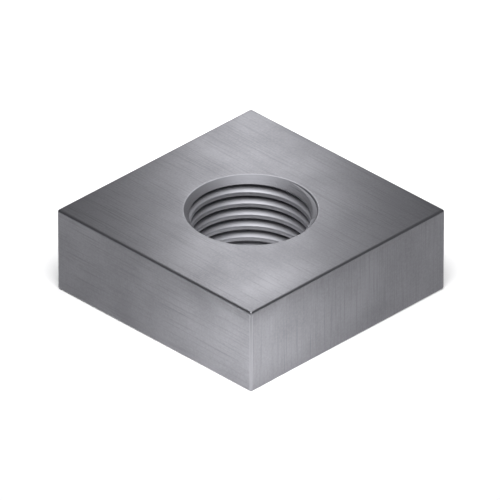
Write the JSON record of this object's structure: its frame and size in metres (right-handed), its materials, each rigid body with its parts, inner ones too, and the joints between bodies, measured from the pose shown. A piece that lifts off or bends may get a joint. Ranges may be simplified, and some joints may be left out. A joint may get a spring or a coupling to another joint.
{
  "type": "square nut",
  "caption": "Flat square steel nut with a right-hand tapped hole through its middle, countersunk at both faces, for a fine-pitch M5 machine screw.",
  "frame": {"origin": "centre of the bearing face, on the axis of the thread", "axes": "+Z along the axis of the thread, from the bearing face to the top face; X and Y square to the sides"},
  "size_m": [0.0104, 0.0104, 0.0035],
  "materials": {
    "steel": "plain satin grey, tumbled, no coating"
  },
  "bodies": {
    "root": {"square_nut": "steel"}
  },
  "joints": []
}
